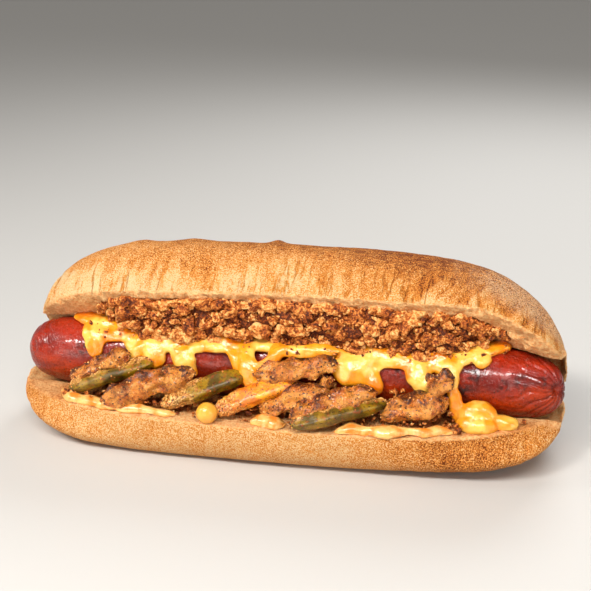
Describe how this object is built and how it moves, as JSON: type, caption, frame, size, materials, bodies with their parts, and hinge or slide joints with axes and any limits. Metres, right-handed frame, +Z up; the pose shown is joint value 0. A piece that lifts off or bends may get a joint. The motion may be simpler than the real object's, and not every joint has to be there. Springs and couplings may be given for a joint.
{
  "type": "hot dog",
  "caption": "Loaded hot dog: hinge-cut roll holding a grilled sausage, seasoned chicken and pepper strips, melted cheese, fried onion crumbs and sauce.",
  "frame": {"origin": "on the flat base of the roll, under the middle of the cut, where it rests on a table", "axes": "+X along the roll, -Y towards the open front, +Z up"},
  "size_m": [0.203, 0.0815, 0.0713],
  "materials": {
    "bread": "matte",
    "sausage": "satin",
    "green_pepper": "satin",
    "yellow_pepper": "satin",
    "chicken": "satin",
    "cheese": "glossy",
    "onion_crumbs": "matte",
    "sauce": "glossy"
  },
  "bodies": {
    "root": {"bun": "bread", "sausage": "sausage", "green_pepper_left": "green_pepper", "green_pepper_middle": "green_pepper", "green_pepper_right": "green_pepper", "yellow_pepper": "yellow_pepper", "chicken_1": "chicken", "chicken_2": "chicken", "chicken_3": "chicken", "chicken_4": "chicken", "chicken_5": "chicken", "chicken_6": "chicken", "chicken_7": "chicken", "chicken_8": "chicken", "cheese": "cheese", "cheese_drop": "cheese", "crumbs": "onion_crumbs", "sauce_left": "sauce", "sauce_middle": "sauce", "sauce_right": "sauce"}
  },
  "joints": []
}
